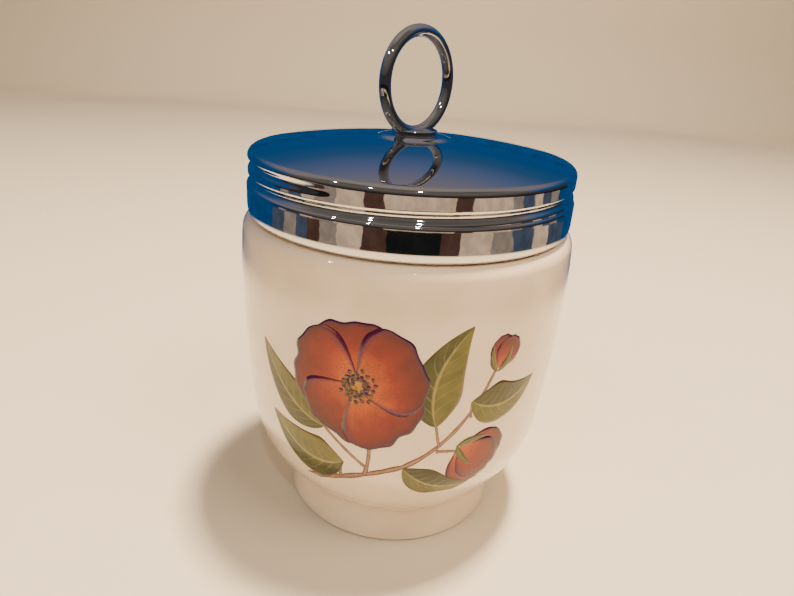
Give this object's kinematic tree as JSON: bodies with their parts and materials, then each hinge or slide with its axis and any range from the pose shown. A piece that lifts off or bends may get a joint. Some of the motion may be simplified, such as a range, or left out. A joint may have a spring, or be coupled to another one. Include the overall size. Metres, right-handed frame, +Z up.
{
  "type": "egg coddler",
  "caption": "Footed porcelain cup with a screw-on pressed metal cap and a lifting ring, for cooking an egg in hot water.",
  "frame": {"origin": "centre of the foot ring's resting face, on the cup's axis", "axes": "+Z up along the cup's axis, -Y towards the printed front, +X to the right seen from the front"},
  "size_m": [0.063, 0.063, 0.0945],
  "materials": {
    "porcelain": null,
    "chrome_sheet": "mirror chrome plate on rolled and pressed sheet",
    "chrome_wire": "mirror chrome plate on wire and turned metal",
    "washer_steel": "plain plated steel, slightly dull"
  },
  "bodies": {
    "cup": {"cup": "porcelain"},
    "lid_lift": {"rivet_washer": "washer_steel"},
    "lid": {"lid_cap": "chrome_sheet", "lifting_ring": "chrome_wire", "ring_stud": "chrome_wire"}
  },
  "joints": [
    {"name": "lid_rise", "type": "slide", "parent": "cup", "child": "lid_lift", "axis": [0, 0, 1], "range_m": [0, 0.011]},
    {"name": "lid_turn", "type": "hinge", "parent": "lid_lift", "child": "lid", "pos_m": [0, 0, 0.067], "axis": [0, 0, 1], "range_deg": [0, 1440]}
  ],
  "couplings": [
    {"joint": "lid_rise", "follows": "lid_turn", "m_per_rad": 0.00043767}
  ]
}
